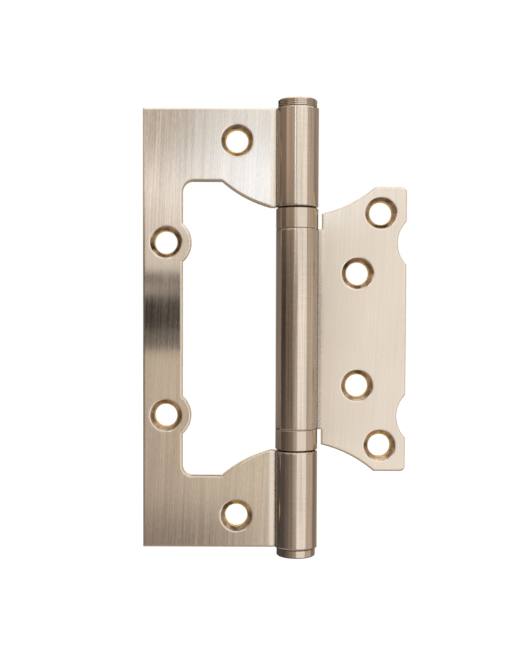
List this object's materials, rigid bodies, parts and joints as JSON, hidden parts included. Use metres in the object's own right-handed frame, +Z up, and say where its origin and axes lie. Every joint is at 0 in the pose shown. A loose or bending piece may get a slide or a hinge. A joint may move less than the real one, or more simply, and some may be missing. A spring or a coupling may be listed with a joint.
{
  "type": "surface mount hinge",
  "caption": "Flush surface mount door hinge: a small leaf folds into the window of a large one, on a capped pin with bearing rings between rolled knuckles; countersunk screw holes.",
  "frame": {"origin": "on the pin axis at mid-height of the barrel", "axes": "+Z up along the pin; the leaves lie open and flat in the XZ plane with the outer leaf towards -X and the inner leaf towards +X; countersunk faces towards -Y, flat backs towards +Y"},
  "size_m": [0.075, 0.012, 0.13],
  "materials": {
    "leaf_finish": "satin nickel, brushed lengthways",
    "cap_finish": "satin nickel, turned",
    "collar_finish": "satin nickel, turned",
    "bare_steel": "ground steel",
    "bearing_steel": "polished bearing steel"
  },
  "bodies": {
    "outer_side": {"outer_leaf": "leaf_finish", "hinge_pin": "bare_steel", "top_cap": "cap_finish", "bottom_cap": "cap_finish", "upper_fixed_race": "bearing_steel", "lower_fixed_race": "bearing_steel"},
    "inner_side": {"inner_leaf": "leaf_finish", "upper_collar": "collar_finish", "lower_collar": "collar_finish", "upper_moving_race": "bearing_steel", "lower_moving_race": "bearing_steel"},
    "upper_rolling": {"upper_ball_ring": "bearing_steel"},
    "lower_rolling": {"lower_ball_ring": "bearing_steel"}
  },
  "joints": [
    {"name": "leaf_swing", "type": "hinge", "parent": "outer_side", "child": "inner_side", "pos_m": [0, 0, 0], "axis": [0, 0, 1], "range_deg": [-180, 90]},
    {"name": "upper_roll", "type": "hinge", "parent": "outer_side", "child": "upper_rolling", "pos_m": [0, 0, 0.03163], "axis": [0, 0, 1], "range_deg": [-90, 45]},
    {"name": "lower_roll", "type": "hinge", "parent": "outer_side", "child": "lower_rolling", "pos_m": [0, 0, -0.03163], "axis": [0, 0, 1], "range_deg": [-90, 45]}
  ],
  "couplings": [
    {"joint": "upper_roll", "follows": "leaf_swing", "ratio": 0.5},
    {"joint": "lower_roll", "follows": "leaf_swing", "ratio": 0.5}
  ]
}
